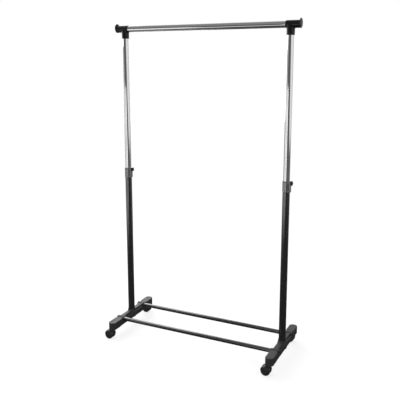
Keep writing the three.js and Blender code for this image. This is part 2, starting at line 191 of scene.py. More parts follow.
def surface_net(grid):
    """Points, in cells, and quads of the grid's zero surface."""
    inside = grid < 0
    shape = np.array(grid.shape) - 1
    count = sum(
        inside[i : i + shape[0], j : j + shape[1], k : k + shape[2]].astype(np.int8)
        for i, j, k in CORNERS
    )
    cells = np.argwhere((count > 0) & (count < 8))
    values = np.stack([grid[tuple((cells + corner).T)] for corner in CORNERS], axis=1)
    total, crossings = np.zeros((len(cells), 3)), np.zeros((len(cells), 1))
    for a, b in CUBE_EDGES:
        hit = (values[:, a] < 0) != (values[:, b] < 0)
        step = np.where(hit, values[:, a] - values[:, b], 1)
        t = (values[:, a] / step)[:, None]
        total += hit[:, None] * (CORNERS[a] + t * (CORNERS[b] - CORNERS[a]))
        crossings += hit[:, None]
    points = cells + total / crossings
    number = np.full(shape, -1)
    number[tuple(cells.T)] = np.arange(len(cells))
    quads = []
    for axis in range(3):
        one, two = np.eye(3, dtype=int)[(axis + 1) % 3], np.eye(3, dtype=int)[(axis + 2) % 3]
        start = inside.take(range(inside.shape[axis] - 1), axis)
        end = inside.take(range(1, inside.shape[axis]), axis)
        edges = np.argwhere(start != end)
        ring = [edges, edges - one, edges - one - two, edges - two]
        quad = np.stack([number[tuple(corner.T)] for corner in ring], axis=1)
        faces_up = start[tuple(edges.T)]
        quad[~faces_up] = quad[~faces_up][:, ::-1]
        quads.append(quad)
    return points, np.concatenate(quads)


def mesh_from(name, points, faces):
    mesh = bpy.data.meshes.new(name)
    mesh.from_pydata([tuple(p) for p in points], [], [tuple(f) for f in faces])
    mesh.polygons.foreach_set("use_smooth", np.ones(len(mesh.polygons), bool))
    mesh.update()
    return mesh


def link(name, mesh):
    """A new object of the scene with that mesh."""
    piece = bpy.data.objects.new(name, mesh)
    bpy.context.scene.collection.objects.link(piece)
    return piece


def decimated(name, points, faces, keep):
    """A mesh of these faces, thinned to that share of them."""
    piece = link(name, mesh_from(name, points, faces))
    piece.modifiers.new("thin", "DECIMATE").ratio = keep
    depsgraph = bpy.context.evaluated_depsgraph_get()
    mesh = bpy.data.meshes.new_from_object(piece.evaluated_get(depsgraph))
    bpy.data.objects.remove(piece)
    return mesh


def moulded(name, field, low, high, cell, keep, blur=2):
    """A mesh skinned from a field, sampled between two corners in cells of that size. keep is the
    share of its faces that is left. Its shading follows the field, so the thinning doesn't show."""
    margin = 3 * cell
    axes = [np.arange(a - margin, b + margin, cell) for a, b in zip(low, high)]
    origin = np.array([axis[0] for axis in axes])
    x, y, z = np.ix_(*axes)
    grid = np.array(np.broadcast_to(field(x, y, z), [len(axis) for axis in axes]), np.float32)
    for _ in range(blur):
        grid = blurred(grid)
    points, quads = surface_net(grid)
    slope = gradient(grid, points)
    reach = (sample(grid, points) / np.maximum((slope**2).sum(axis=1), 1e-6))[:, None]
    points = points - np.clip(reach * slope, -0.5, 0.5)
    mesh = decimated(name, (origin + points * cell) * MM, quads, keep)
    places = np.zeros(len(mesh.vertices) * 3, np.float32)
    mesh.vertices.foreach_get("co", places)
    slope = gradient(grid, (places.reshape(-1, 3) / MM - origin) / cell)
    slope /= np.maximum(np.linalg.norm(slope, axis=1)[:, None], 1e-9)
    mesh.normals_split_custom_set_from_vertices([tuple(n) for n in slope])
    return mesh


# ------------------------------------------------------------------ turned pieces

def rounded(profile, radius, closed, steps=4):
    """The profile with each corner replaced by a small curve."""
    points = [Vector(p) for p in profile]
    count = len(points)
    result = []
    for i, corner in enumerate(points):
        if not closed and i in (0, count - 1):
            result.append(tuple(corner))
            continue
        before, after = points[i - 1] - corner, points[(i + 1) % count] - corner
        reach = min(radius, 0.45 * before.length, 0.45 * after.length)
        start, end = corner + before.normalized() * reach, corner + after.normalized() * reach
        for k in range(steps + 1):
            t = k / steps
            result.append(tuple((1 - t) ** 2 * start + 2 * t * (1 - t) * corner + t * t * end))
    return result


def turned(name, profile, axis="z", at=(0, 0, 0), sides=48, edge=0.4, closed=False, lobes=None):
    """Revolves (radius, height) points about the axis. edge is the radius of their rounded corners, a
    closed profile makes a ring, and lobes(angle, radius) may change the radius."""
    profile = rounded(profile, edge, closed)
    points, rings = [], []
    for radius, height in profile:
        if radius < 1e-6:
            rings.append([len(points)] * sides)
            points.append((0, 0, height))
            continue
        rings.append(list(range(len(points), len(points) + sides)))
        for k in range(sides):
            angle = 2 * math.pi * k / sides
            reach = lobes(angle, radius) if lobes else radius
            points.append((reach * math.cos(angle), reach * math.sin(angle), height))
    faces = []
    for lower, upper in zip(rings, rings[1:] + (rings[:1] if closed else [])):
        for k in range(sides):
            n = (k + 1) % sides
            face = list(dict.fromkeys([lower[k], lower[n], upper[n], upper[k]]))
            if len(face) > 2:
                faces.append(face)
    points = np.array(points)
    order = {"z": (0, 1, 2), "x": (2, 0, 1), "y": (1, 2, 0)}[axis]
    return outward(mesh_from(name, (points[:, order] + np.array(at)) * MM, faces))


def outward(mesh):
    """Turns the faces of a closed mesh so that its volume is positive."""
    mesh.calc_loop_triangles()
    places = np.array([vertex.co for vertex in mesh.vertices])
    a, b, c = places[np.array([triangle.vertices for triangle in mesh.loop_triangles])].swapaxes(0, 1)
    if np.einsum("ij,ij->i", a, np.cross(b, c)).sum() < 0:
        mesh.flip_normals()
    return mesh


def pipe(name, node, axis, wall):
    """A tube of the CAD node's outer size, with rounded rims."""
    low, high = span(node)
    centre = (low + high) / 2
    along = "xyz".index(axis)
    radius = (high[(along + 1) % 3] - low[(along + 1) % 3]) / 2
    half = (high[along] - low[along]) / 2
    profile = [(radius - wall, -half), (radius, -half), (radius, half), (radius - wall, half)]
    return turned(name, profile, axis, centre, sides=64, edge=0.35, closed=True)


# ------------------------------------------------------------------ foot bar
# Drawn about the upright axis with its inner side to +X.

FOOT = {"bottom": 46, "belly": 47.5, "ledge": 72.5, "top": 82, "spine": 10.5, "shoulder": 13.5,
        "body": 18.5, "end": 187, "wall": 3.5, "overlap": 8}
ARCH = {"start": 110, "run": 28}  # the underside falls from the belly to the bottom along this run
BOSS = {"foot": 21, "neck": 18.2, "top": 88, "flare_top": 84, "flare": 12, "fillet": 3.5}
ROD_BOSS = {"radius": 12.4, "reach": 19.7, "chamfer": 1.0, "fillet": 1.2}
SCREW_RECESS = {"radius": 6.2, "floor": -10.5}
ROD_SOCKET = {"radius": 9.9, "floor": -6}
TUBE_SEAT = {"radius": 16.3, "floor": 58}
BOLT_SEAT = {"radius": 7.6, "roof": 52}
CASTOR_BORE = {"radius": 6.4, "roof": 74}
BAYS = (
    {"from": 24, "to": 51.5, "roof": 69},
    {"from": 54.5, "to": 81, "roof": 69},
    {"from": 111, "to": 131, "roof": 69},
    {"from": 134, "to": 160, "roof": 75},
)


def foot_plan(*waist):
    """A quarter of the bar seen from above, carried past both axes. waist is its narrow stretch."""
    half, end, far = FOOT["body"], FOOT["end"], -40
    flat = half * math.tan(math.pi / 8)
    start = waist[0][0] if waist else half
    return [(far, far), (start, far), *waist, (half, end - half + flat), (flat, end), (far, end)]


def foot_outside(x, y, z):
    """The bar with its spine, the boss round the upright and the bosses of the rods."""
    side, along = np.abs(x), np.abs(y)
    spine, shoulder = FOOT["spine"], FOOT["shoulder"]
    lower_plan = polygon(side, along, foot_plan())
    upper_plan = polygon(side, along, foot_plan(
        (spine, ROD_Y - 18), (shoulder, ROD_Y - 8), (shoulder, ROD_Y + 8), (shoulder - 1, ROD_Y + 12),
        (FOOT["body"], ROD_Y + 24),
    ))
    lower = slab(lower_plan, z, FOOT["bottom"], FOOT["ledge"])
    upper = slab(upper_plan, z, FOOT["ledge"] - FOOT["overlap"], FOOT["top"])
    flared = np.clip((BOSS["flare_top"] - z) / BOSS["flare"], 0, 1)
    boss_radius = BOSS["neck"] + (BOSS["foot"] - BOSS["neck"]) * flared
    boss = slab(np.hypot(x, y) - boss_radius, z, FOOT["belly"], BOSS["top"])
    radius, reach = ROD_BOSS["radius"], ROD_BOSS["reach"]
    rod_bosses = cylinder(x, along, z, "x", radius, -reach, reach, at=(0, ROD_Y, ROD_Z))
    slope = side + np.hypot(along - ROD_Y, z - ROD_Z) - reach - radius
    rod_bosses = np.maximum(rod_bosses, (slope + ROD_BOSS["chamfer"]) / math.sqrt(2))
    body = join(join(lower, upper), boss, fillet=BOSS["fillet"])
    return join(body, rod_bosses, fillet=ROD_BOSS["fillet"])


def foot_field(x, y, z):
    side, along = np.abs(x), np.abs(y)
    rise = np.clip((along - ARCH["start"]) / ARCH["run"], 0, 1)
    underside = FOOT["belly"] - (FOOT["belly"] - FOOT["bottom"]) * rise**2 * (3 - 2 * rise)
    inside = FOOT["body"] - FOOT["wall"]
    pockets = [
        block(side, along, z, (-1, bay["from"], -FAR), (inside, bay["to"], bay["roof"])) for bay in BAYS
    ]
    rod = (0, ROD_Y, ROD_Z)
    recess = cylinder(x, along, z, "x", SCREW_RECESS["radius"], -FAR, SCREW_RECESS["floor"], at=rod)
    socket = cylinder(x, along, z, "x", ROD_SOCKET["radius"], ROD_SOCKET["floor"], FAR, at=rod)
    tube_seat = cylinder(x, y, z, "z", TUBE_SEAT["radius"], TUBE_SEAT["floor"], FAR)
    bolt_seat = cylinder(x, y, z, "z", BOLT_SEAT["radius"], -FAR, BOLT_SEAT["roof"])
    castor_bore = cylinder(x, along, z, "z", CASTOR_BORE["radius"], -FAR, CASTOR_BORE["roof"],
                           at=(0, CASTOR_Y, 0))
    return cut(foot_outside(x, y, z), z - underside, *pockets, recess, socket, tube_seat, bolt_seat,
               castor_bore)


# ------------------------------------------------------------------ tee joint
# Drawn about the crossing of the upright and rail axes, with the end stop to -X.

TEE = {"barrel": 16.2, "inboard": 20, "chamfer": 1.2, "spigot": 13, "spigot_reach": 12, "fillet": 4.0,
       "overlap": 3}
TEE_SOCKET = {"radius": 17.6, "drop": 44, "taper": 0.5, "taper_height": 14, "bore": 14.6, "roof": -17}
STOP = {"radius": 20.3, "face": 46.5, "thickness": 5, "lift": 3.8, "dome": 1.7, "fillet": 1.8}
STOP_RING = {"radius": 14.2, "half": 0.7, "depth": 1.6}  # a groove in the stop's outer face


def end_stop(x, y, z):
    """A domed disc that stands a little above the barrel."""
    face, lift = -STOP["face"], STOP["lift"]
    disc = cylinder(x, y, z, "x", STOP["radius"], face, face + STOP["thickness"], at=(0, 0, lift))
    bow = (STOP["radius"] ** 2 + STOP["dome"] ** 2) / (2 * STOP["dome"])
    domed = np.maximum(disc, sphere(x, y, z, bow, (face + bow, 0, lift)))
    off_ring = np.abs(np.hypot(y, z - lift) - STOP_RING["radius"]) - STOP_RING["half"]
    return cut(domed, np.maximum(off_ring, x - face - STOP_RING["depth"]))


def tee_field(x, y, z):
    outboard, inboard, overlap = STOP["thickness"] - STOP["face"] - 1, TEE["inboard"], TEE["overlap"]
    barrel = cylinder(x, y, z, "x", TEE["barrel"], outboard, inboard)
    barrel = np.maximum(barrel, np.hypot(y, z) + x - TEE["barrel"] - inboard + TEE["chamfer"])
    drop, height = TEE_SOCKET["drop"], TEE_SOCKET["taper_height"]
    radius = TEE_SOCKET["radius"] - TEE_SOCKET["taper"] * np.clip(-z - drop + height, 0, height) / height
    socket = slab(np.hypot(x, y) - radius, z, -drop, -overlap)
    body = join(barrel, socket, fillet=TEE["fillet"])
    body = join(body, end_stop(x, y, z), fillet=STOP["fillet"])
    spigot = cylinder(x, y, z, "x", TEE["spigot"], inboard - overlap, inboard + TEE["spigot_reach"])
    throat = cylinder(x, y, z, "z", TEE_SOCKET["bore"], -FAR, TEE_SOCKET["roof"])
    return cut(join(body, spigot), throat)


# ------------------------------------------------------------------ height collar, knob and screws
# Drawn about the upright axis, with the boss and the knob to +X.

COLLAR = {"bottom": 770, "top": 818, "radius": 17.2, "screw_drop": 9}
COLLAR_BOSS = {"face": 20, "half": 8.5, "chamfer": 2, "fillet": 1.5}
COLLAR_LIP = {"stands": 0.9, "height": 4, "fillet": 0.8}
COLLAR_GROOVE = {"drop": 4.2, "half": 0.45, "depth": 0.5}  # round the top
COLLAR_SLOT = {"half": 0.7, "length": 26, "to": -10}  # opposite the boss, so that the screw can clamp
COLLAR_BORE = {"lower": 16.2, "step": 795.3, "upper": 14.75, "flare": 1.4, "screw": 3.5}
SCREW_Z = COLLAR["top"] - COLLAR["screw_drop"]


def collar_outside(x, y, z):
    bottom, top, radius = COLLAR["bottom"], COLLAR["top"], COLLAR["radius"]
    face, half = COLLAR_BOSS["face"], COLLAR_BOSS["half"]
    boss = np.maximum(np.abs(y) - half, np.maximum(x - face, -x))
    boss = np.maximum(boss, (x + np.abs(y) - face - half + COLLAR_BOSS["chamfer"]) / math.sqrt(2))
    body = slab(join(np.hypot(x, y) - radius, boss, fillet=COLLAR_BOSS["fillet"]), z, bottom, top)
    lip = cylinder(x, y, z, "z", radius + COLLAR_LIP["stands"], bottom, bottom + COLLAR_LIP["height"])
    body = join(body, lip, fillet=COLLAR_LIP["fillet"])
    off_groove = np.abs(z - top + COLLAR_GROOVE["drop"]) - COLLAR_GROOVE["half"]
    return cut(body, np.maximum(radius - COLLAR_GROOVE["depth"] - np.hypot(x, y), off_groove))


def collar_field(x, y, z):
    top, bore, half = COLLAR["top"], COLLAR_BORE, COLLAR_SLOT["half"]
    slot = block(x, y, z, (-FAR, -half, top - COLLAR_SLOT["length"]), (COLLAR_SLOT["to"], half, FAR))
    lower_bore = cylinder(x, y, z, "z", bore["lower"], -FAR, bore["step"])
    upper_bore = np.hypot(x, y) - bore["upper"] - np.maximum(z - top + bore["flare"], 0)
    screw_bore = cylinder(x, y, z, "x", bore["screw"], 10, FAR, at=(0, 0, SCREW_Z))
    return cut(collar_outside(x, y, z), slot, lower_bore, upper_bore, screw_bore)


KNOB = {"core": 8.6, "lobe": 2.2, "round_within": 3, "fade": 5, "hub": 5.6, "start": 20.4, "neck": 22,
        "face": 27.6, "bore": 3.3, "bore_end": 25.3}
DISH = {"radius": 4.2, "wall": 3.4, "step": 0.5, "depth": 0.7}  # in the middle of the knob's face


def lobes_at(turn):
    """Four lobes, the first at that angle, which fade towards the hub."""
    def lobed(angle, radius):
        share = np.clip((radius - KNOB["round_within"]) / KNOB["fade"], 0, 1)
        return radius * (1 + KNOB["lobe"] / KNOB["core"] * share * math.cos(4 * (angle - turn)))
    return lobed


def knob(name, turn):
    """The thumb knob about its own screw axis, with a blind bore and a dished face."""
    core, hub, neck, face = KNOB["core"], KNOB["hub"], KNOB["neck"], KNOB["face"]
    profile = [
        (0, KNOB["bore_end"]), (KNOB["bore"], KNOB["bore_end"]), (KNOB["bore"], KNOB["start"]),
        (hub, KNOB["start"]), (hub, neck), (core - 0.5, neck + 0.2), (core, neck + 1.2),
        (core, face - 1.4), (core - 1, face - 0.1), (DISH["radius"], face - 0.05),
        (DISH["wall"], face - DISH["step"]), (0, face - DISH["depth"]),
    ]
    return turned(name, profile, "x", sides=96, edge=0.7, lobes=lobes_at(turn))


ROD_SCREW = {"head": 5.4, "height": 3.5, "crown": 7.6, "shank": 3, "reach": 10, "seat": -10.8}
DRIVER = {"half": 2.4, "width": 0.65, "depth": 2.0, "spread": 0.25}  # the cross in the screw's head


def driver_recess(u, v, above):
    """Two slots that cross and grow longer towards the mouth. above is the height over the head."""
    over_floor = above + DRIVER["depth"]
    spread = np.maximum(over_floor, 0) * DRIVER["spread"]
    one = np.maximum(np.abs(u) - DRIVER["half"] - spread, np.abs(v) - DRIVER["width"])
    two = np.maximum(np.abs(v) - DRIVER["half"] - spread, np.abs(u) - DRIVER["width"])
    return np.maximum(np.minimum(one, two), -over_floor)


def rod_screw_field(x, y, z):
    """A pan head screw along X, head to -X, drawn about its own axis."""
    seat, crown = ROD_SCREW["seat"], ROD_SCREW["crown"]
    top = seat - ROD_SCREW["height"]
    head = np.maximum(cylinder(x, y, z, "x", ROD_SCREW["head"], top, seat),
                      sphere(x, y, z, crown, (top + crown, 0, 0)))
    shank = cylinder(x, y, z, "x", ROD_SCREW["shank"], seat - 1, ROD_SCREW["reach"])
    return cut(join(head, shank), driver_recess(y, z, top - x))


BOLT = {"seat": 51.7, "height": 4, "across": 5.9, "chamfer": 0.9, "chamfer_slope": 1.2, "washer": 6.8,
        "washer_height": 0.8, "overlap": 0.3, "shank": 4, "reach": 8, "dimple": 6, "dimple_depth": 0.6}


def bolt_field(x, y, z):
    """A hexagon bolt with its head down and a washer face against the seat."""
    hexagon = -np.inf
    for k in range(6):
        angle = k * math.pi / 3
        hexagon = np.maximum(hexagon, x * math.cos(angle) + y * math.sin(angle) - BOLT["across"])
    seat, washer_radius = BOLT["seat"], BOLT["washer"]
    low, washer_low = seat - BOLT["height"], seat - BOLT["washer_height"]
    cone = np.hypot(x, y) - washer_radius - (z - low) * BOLT["chamfer_slope"] + BOLT["chamfer"]
    head = np.maximum(slab(hexagon, z, low, washer_low), cone)
    washer = cylinder(x, y, z, "z", washer_radius, washer_low - BOLT["overlap"], seat)
    dimple = sphere(x, y, z, BOLT["dimple"], (0, 0, low - BOLT["dimple"] + BOLT["dimple_depth"]))
    shank = cylinder(x, y, z, "z", BOLT["shank"], seat - 1, seat + BOLT["reach"])
    return cut(join(head, washer, shank), dimple)


# ------------------------------------------------------------------ castors
# Drawn about the swivel axis with the floor at zero, the wheels trailing towards -X.

CASTOR = {"radius": 21, "trail": 14, "inner": 5.8, "outer": 18.8, "hub": 11}
AXLE = (-CASTOR["trail"], 0, CASTOR["radius"])
AXLE_PIN = {"radius": 2, "half": 15.4, "bore": 2.3}
HOOD = {"gap": 0.7, "wall": 1.4, "side_gap": 0.6, "fall": 3.0, "flat": 11, "front": 0.1, "back": 0.12}
WEB = {"inset": 0.2, "drop": 6, "fillet": 0.8, "root": 2}
NECK = {"heights": (26, 33, 44.2), "radii": (6, 9.5, 9.2), "bore": 4.0, "floor": 30.7, "fillet": 2.0}


def housing_field(x, y, z):
    """A hood over both wheels, whose crown falls towards their outer faces, a web between them that
    narrows to a hub below the axle, and a neck up to the stem."""
    from_axle = np.hypot(x - AXLE[0], z - AXLE[2])
    angle = np.arctan2(z - AXLE[2], x - AXLE[0])
    inner = CASTOR["radius"] + HOOD["gap"]
    outer = inner + HOOD["wall"]
    half, web_half = CASTOR["outer"] - HOOD["side_gap"], CASTOR["inner"] - HOOD["side_gap"]
    fall = HOOD["fall"] * np.clip((np.abs(y) - HOOD["flat"]) / (half - HOOD["flat"]), 0, 1) ** 2
    past_ends = np.maximum(HOOD["front"] - angle, angle - math.pi + HOOD["back"]) * outer
    crown, root = from_axle - outer + fall, inner - WEB["root"] - fall - from_axle
    hood = np.maximum(np.maximum(crown, root), past_ends)
    hood = np.maximum(hood, np.abs(y) - half)
    wheel_room = np.maximum(from_axle - inner + fall, web_half - np.abs(y))
    web = np.maximum(np.abs(y) - web_half, from_axle - outer + WEB["inset"])
    web = np.maximum(web, np.where(z < AXLE[2] - WEB["drop"], from_axle - CASTOR["hub"], -FAR))
    neck_radius = np.interp(z, NECK["heights"], NECK["radii"])
    neck = slab(np.hypot(x, y) - neck_radius, z, NECK["heights"][0], NECK["heights"][-1])
    body = join(cut(hood, wheel_room), web, fillet=WEB["fillet"])
    body = join(body, neck, fillet=NECK["fillet"])
    axle_bore = cylinder(x, y, z, "y", AXLE_PIN["bore"], -FAR, FAR, at=AXLE)
    stem_bore = cylinder(x, y, z, "z", NECK["bore"], NECK["floor"], FAR)
    return cut(body, axle_bore, stem_bore)


def wheel(name, way, at):
    """One of a castor's two wheels, its domed outer face with a ring groove and a hub cap."""
    radius, inner, outer, bore = CASTOR["radius"], CASTOR["inner"], CASTOR["outer"], AXLE_PIN["bore"]
    bore_end = AXLE_PIN["half"] + 0.4
    hub = [(0, bore_end), (bore, bore_end), (bore, inner), (6.2, inner), (6.6, inner + 1.6)]
    rim = [(14.5, inner + 1.6), (15.0, inner), (radius - 1.0, inner), (radius, inner + 1.4)]
    shoulder = [(radius, 13.2), (radius - 0.6, 14.8), (radius - 2.0, outer - 2.4)]
    face = [
        (radius - 3.4, outer - 1.7), (radius - 4.0, outer - 2.0), (radius - 4.8, outer - 2.0),
        (radius - 5.4, outer - 1.1), (radius - 9.5, outer - 0.4),
    ]
    cap = [
        (7.6, outer - 0.25), (7.2, outer - 0.6), (6.6, outer - 0.6), (6.2, outer - 0.1), (3.4, outer),
        (0, outer),
    ]
    profile = [(r, way * height) for r, height in hub + rim + shoulder + face + cap]
    return turned(name, profile, "y", at, sides=72, edge=0.5)


# (radius, height): the stem with the groove of its spring ring, and the flanged sleeve round it
STEM = [(0, 31), (3.7, 31), (3.7, 66), (3.1, 67), (3.1, 69), (3.7, 70), (2.8, 72), (0, 72)]
SLEEVE = [(4.2, 44.6), (8.8, 44.6), (8.8, 45.7), (6.1, 45.7), (6.1, 73.5), (4.2, 73.5)]


# ------------------------------------------------------------------ materials
# Every finish is worked out from the surface's own place at rest, in metres.

class Finish:
    """A Principled material with a few named building steps."""

    def __init__(self, name, **constants):
        self.material = bpy.data.materials.new(name)
        self.material.use_nodes = True
        self.tree = self.material.node_tree
        self.shader = self.tree.nodes["Principled BSDF"]
        for socket, value in constants.items():
            self.shader.inputs[socket.replace("_", " ")].default_value = value
        self.place = self.node("ShaderNodeTexCoord").outputs["Object"]

    def node(self, kind, settings=None, **sockets):
        """A new node. Its inputs are given by name, or as i0, i1 and so on by number."""
        made = self.tree.nodes.new(kind)
        for key, value in (settings or {}).items():
            setattr(made, key, value)
        for socket, value in sockets.items():
            target = made.inputs[int(socket[1:]) if socket[0] == "i" else socket.replace("_", " ")]
            if isinstance(value, bpy.types.NodeSocket):
                self.tree.links.new(value, target)
            else:
                target.default_value = value
        return made

    def noise(self, scale, detail=3.0, stretch=(1, 1, 1)):
        where = self.place
        if stretch != (1, 1, 1):
            where = self.node("ShaderNodeMapping", Vector=self.place, Scale=stretch).outputs["Vector"]
        made = self.node("ShaderNodeTexNoise", Vector=where, Scale=scale, Detail=detail, Roughness=0.55)
        return made.outputs["Fac"]

    def ranged(self, value, low, high, to_low=0.0, to_high=1.0):
        made = self.node("ShaderNodeMapRange", Value=value, From_Min=low, From_Max=high,
                         To_Min=to_low, To_Max=to_high)
        return made.outputs["Result"]

    def math(self, operation, a, b=0.0):
        return self.node("ShaderNodeMath", {"operation": operation}, i0=a, i1=b).outputs["Value"]

    def dot(self, a, b):
        made = self.node("ShaderNodeVectorMath", {"operation": "DOT_PRODUCT"}, i0=a, i1=b)
        return made.outputs["Value"]

    def mixed(self, share, a, b):
        """Colours a and b, which are a Mix node's inputs 6 and 7. Its colour comes out at output 2."""
        made = self.node("ShaderNodeMix", {"data_type": "RGBA"}, Factor=share)
        for index, value in ((6, a), (7, b)):
            if isinstance(value, bpy.types.NodeSocket):
                self.tree.links.new(value, made.inputs[index])
            else:
                made.inputs[index].default_value = (*value, 1)
        return made.outputs[2]

    def edges(self, radius):
        """1 along edges, 0 on flats."""
        soft = self.node("ShaderNodeBevel", {"samples": 6}, Radius=radius).outputs["Normal"]
        true = self.node("ShaderNodeNewGeometry").outputs["Normal"]
        return self.ranged(self.dot(soft, true), 0.99, 0.88)

    def bump(self, height, strength, distance, normal=None):
        made = self.node("ShaderNodeBump", Height=height, Strength=strength, Distance=distance)
        if normal is not None:
            self.tree.links.new(normal, made.inputs["Normal"])
        return made.outputs["Normal"]

    def set(self, **sockets):
        """Links the shader's sockets and returns the finished material."""
        for socket, value in sockets.items():
            self.tree.links.new(value, self.shader.inputs[socket.replace("_", " ")])
        return self.material


def powder_coat():
    """Glossy black paint on tube: faint orange peel, dust specks and slow changes of gloss."""
    finish = Finish("powder_coat_black", IOR=2.2)
    cloud = finish.noise(9, 4)
    specks = finish.ranged(finish.noise(1400, 1), 0.70, 0.76)
    tone = finish.mixed(cloud, (0.004, 0.004, 0.0043), (0.007, 0.007, 0.0074))
    colour = finish.mixed(specks, tone, (0.02, 0.0195, 0.019))
    gloss = finish.ranged(finish.noise(35, 5), 0.3, 0.7, 0.15, 0.22)
    peel = finish.bump(finish.noise(620, 2), 0.08, 0.0002)
    return finish.set(Base_Color=colour, Roughness=gloss, Normal=peel)


def chrome(name, along):
    """Bright plating on drawn tube: fine draw lines along the tube, and light smears."""
    finish = Finish(name, Metallic=1.0)
    stretch = tuple(0.015 if axis == along else 1.0 for axis in "xyz")
    lines = finish.noise(900, 1, stretch)
    smears = finish.noise(26, 5, tuple(0.35 if axis == along else 1.0 for axis in "xyz"))
    colour = finish.mixed(smears, (0.76, 0.765, 0.775), (0.84, 0.845, 0.85))
    gloss = finish.math("ADD", finish.ranged(smears, 0.35, 0.75, 0.045, 0.10),
                        finish.ranged(lines, 0.4, 0.8, 0.0, 0.03))
    drawn = finish.bump(lines, 0.006, 0.00005)
    sway = finish.bump(finish.noise(30, 2, stretch), 0.05, 0.0004, drawn)
    return finish.set(Base_Color=colour, Roughness=gloss, Normal=sway)


def textured_plastic(name, dark, light, edge_wear_and_highlight, rough, grain, depth, ior):
    """Moulded plastic with a fine spark-eroded grain, worn smooth along its edges. The paler colour there
    is partly wear and partly a painted highlight, which stands in for the light that the rounded edges
    catch.
    """
    finish = Finish(name, IOR=ior)
    cloud = finish.noise(22, 5)
    fine = finish.noise(grain, 2)
    # The paler colour mixed in along the edges is partly wear and partly a painted highlight.
    edge_mask = finish.math("MULTIPLY", finish.edges(0.0018), finish.ranged(finish.noise(160, 4), 0.35, 0.7))
    colour = finish.mixed(cloud, dark, light)
    colour = finish.mixed(finish.ranged(fine, 0.45, 0.75, 0.0, 0.5), colour, tuple(1.7 * c for c in light))
    colour = finish.mixed(finish.math("MULTIPLY", edge_mask, 0.6), colour, edge_wear_and_highlight)
    gloss = finish.math("ADD", finish.ranged(finish.noise(60, 4), 0.3, 0.7, rough - 0.05, rough + 0.06),
                        finish.math("MULTIPLY", edge_mask, -0.12))
    return finish.set(Base_Color=colour, Roughness=gloss, Normal=finish.bump(fine, 0.55, depth))


def collar_finish():
    """Satin dark grey plastic, polished in fine rings, with paler rubbed edges."""
    finish = Finish("collar_grey", IOR=2.4)
    brushed = finish.noise(700, 2, (1, 1, 6))
    cloud = finish.noise(45, 4)
    edge_mask = finish.edges(0.001)
    colour = finish.mixed(cloud, (0.058, 0.058, 0.06), (0.078, 0.078, 0.08))
    colour = finish.mixed(finish.math("MULTIPLY", edge_mask, 0.5), colour, (0.24, 0.24, 0.245))
    gloss = finish.math("ADD", finish.ranged(brushed, 0.3, 0.7, 0.09, 0.14),
                        finish.ranged(cloud, 0.3, 0.7, 0.0, 0.04))
    return finish.set(Base_Color=colour, Roughness=gloss, Normal=finish.bump(brushed, 0.04, 0.00006))


def glossy_plastic(name, tone, rough, scuffs, ior):
    """Smooth black plastic with hairline scuffs that dull it in places."""
    finish = Finish(name, IOR=ior)
    cloud = finish.noise(70, 5)
    hairs = finish.ranged(finish.noise(340, 6, (1, 0.15, 1)), 0.60, 0.72)
    worn = finish.math("MULTIPLY", finish.edges(0.0008), 0.5)
    colour = finish.mixed(cloud, tuple(0.7 * c for c in tone), tuple(1.4 * c for c in tone))
    colour = finish.mixed(finish.math("MULTIPLY", hairs, scuffs), colour, (0.09, 0.09, 0.09))
    colour = finish.mixed(worn, colour, (0.06, 0.06, 0.06))
    gloss = finish.math("ADD", finish.ranged(cloud, 0.3, 0.7, rough - 0.04, rough + 0.06),
                        finish.math("MULTIPLY", hairs, 0.25))
    return finish.set(Base_Color=colour, Roughness=gloss, Normal=finish.bump(cloud, 0.10, 0.0003))


def wheel_finish():
    """Black wheel plastic, dulled and greyed in small patches by the dust of the floor."""
    finish = Finish("wheel_black", IOR=1.5)
    grit = finish.noise(420, 5)
    cloud = finish.noise(60, 4)
    colour = finish.mixed(cloud, (0.011, 0.011, 0.012), (0.02, 0.02, 0.021))
    dusty = finish.math("MULTIPLY", finish.ranged(grit, 0.52, 0.72), 0.4)
    colour = finish.mixed(dusty, colour, (0.07, 0.068, 0.064))
    gloss = finish.math("ADD", finish.ranged(cloud, 0.3, 0.7, 0.30, 0.40),
                        finish.math("MULTIPLY", dusty, 0.5))
    return finish.set(Base_Color=colour, Roughness=gloss, Normal=finish.bump(grit, 0.18, 0.0002))


def nylon_finish():
    """Natural nylon: milky, a little uneven, slightly see-through at thin edges."""
    finish = Finish("natural_nylon_white", IOR=1.53, Subsurface_Weight=0.15, Subsurface_Scale=0.004)
    cloud = finish.noise(55, 4)
    colour = finish.mixed(cloud, (0.60, 0.585, 0.54), (0.71, 0.70, 0.665))
    gloss = finish.ranged(finish.noise(180, 3), 0.3, 0.7, 0.38, 0.52)
    return finish.set(Base_Color=colour, Roughness=gloss, Normal=finish.bump(cloud, 0.15, 0.0003))


def steel_finish():
    """Zinc-plated steel: fine spangle and dull spots."""
    finish = Finish("zinc_steel", Metallic=1.0)
    spangle = finish.node("ShaderNodeTexVoronoi", Vector=finish.place, Scale=700.0).outputs["Distance"]
    spots = finish.noise(240, 5)
    colour = finish.mixed(finish.ranged(spangle, 0.0, 0.8), (0.44, 0.445, 0.45), (0.60, 0.605, 0.61))
    colour = finish.mixed(finish.ranged(spots, 0.56, 0.72, 0.0, 0.5), colour, (0.27, 0.27, 0.27))
    gloss = finish.ranged(spots, 0.3, 0.7, 0.24, 0.42)
    return finish.set(Base_Color=colour, Roughness=gloss, Normal=finish.bump(spangle, 0.10, 0.0001))


